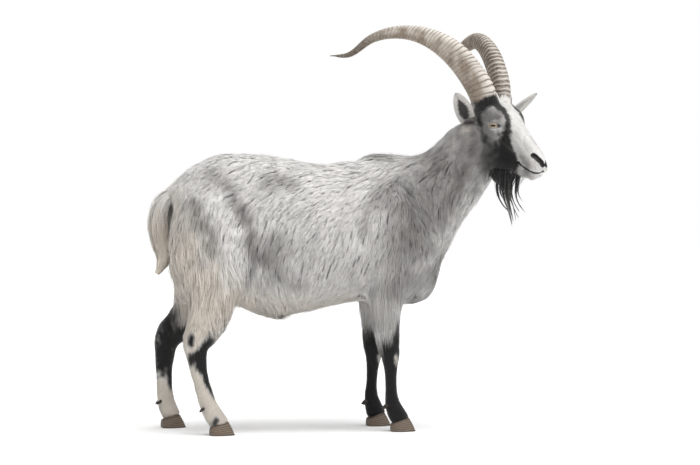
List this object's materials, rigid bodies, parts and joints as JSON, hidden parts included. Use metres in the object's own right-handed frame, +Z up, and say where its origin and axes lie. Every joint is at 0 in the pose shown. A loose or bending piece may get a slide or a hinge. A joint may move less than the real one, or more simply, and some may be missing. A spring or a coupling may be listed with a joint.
{
  "type": "billy goat",
  "caption": "Still life-size model of a standing billy goat, with long ridged horns swept back, a beard and a shaggy pale coat, its head turned to its right.",
  "frame": {"origin": "on the floor, below the middle of the box round the whole goat", "axes": "+X forward along the body, from rump to chest; +Y to the goat's left; +Z up from the soles"},
  "size_m": [1.2074, 0.6402, 1.2364],
  "materials": {
    "pale_coat": "long silver-white hair, matte, flecked with grey",
    "grey_coat": "long mid-grey hair with darker streaks, matte",
    "cream_coat": "long warm cream hair, matte",
    "face_coat": "short hair, black cheeks and a white blaze and muzzle",
    "ear_coat": "short grey hair, dark inside",
    "beard_hair": "long straight black hair in pointed locks",
    "leg_coat": "short black hair, cream on the hind pasterns",
    "horn": "ridged pale grey-tan horn, satin",
    "hoof": "tan-brown horn, worn satin",
    "eye": "wet gloss, pale gold iris and a level black pupil"
  },
  "bodies": {
    "root": {"barrel": "pale_coat", "beard": "beard_hair", "chest": "grey_coat", "claw_fore_left_a": "hoof", "claw_fore_left_b": "hoof", "claw_fore_right_a": "hoof", "claw_fore_right_b": "hoof", "claw_hind_left_a": "hoof", "claw_hind_left_b": "hoof", "claw_hind_right_a": "hoof", "claw_hind_right_b": "hoof", "dewclaw_fore_left_a": "hoof", "dewclaw_fore_left_b": "hoof", "dewclaw_fore_right_a": "hoof", "dewclaw_fore_right_b": "hoof", "dewclaw_hind_left_a": "hoof", "dewclaw_hind_left_b": "hoof", "dewclaw_hind_right_a": "hoof", "dewclaw_hind_right_b": "hoof", "ear_left": "ear_coat", "ear_right": "ear_coat", "eye_left": "eye", "eye_right": "eye", "foreleg_lower_left": "leg_coat", "foreleg_lower_right": "leg_coat", "foreleg_upper_left": "grey_coat", "foreleg_upper_right": "grey_coat", "head": "face_coat", "hindleg_shank_left": "leg_coat", "hindleg_shank_right": "leg_coat", "hindleg_thigh_left": "cream_coat", "hindleg_thigh_right": "cream_coat", "horn_left": "horn", "horn_right": "horn", "lower_jaw": "face_coat", "neck": "grey_coat", "rump": "pale_coat", "tail": "cream_coat"}
  },
  "joints": []
}
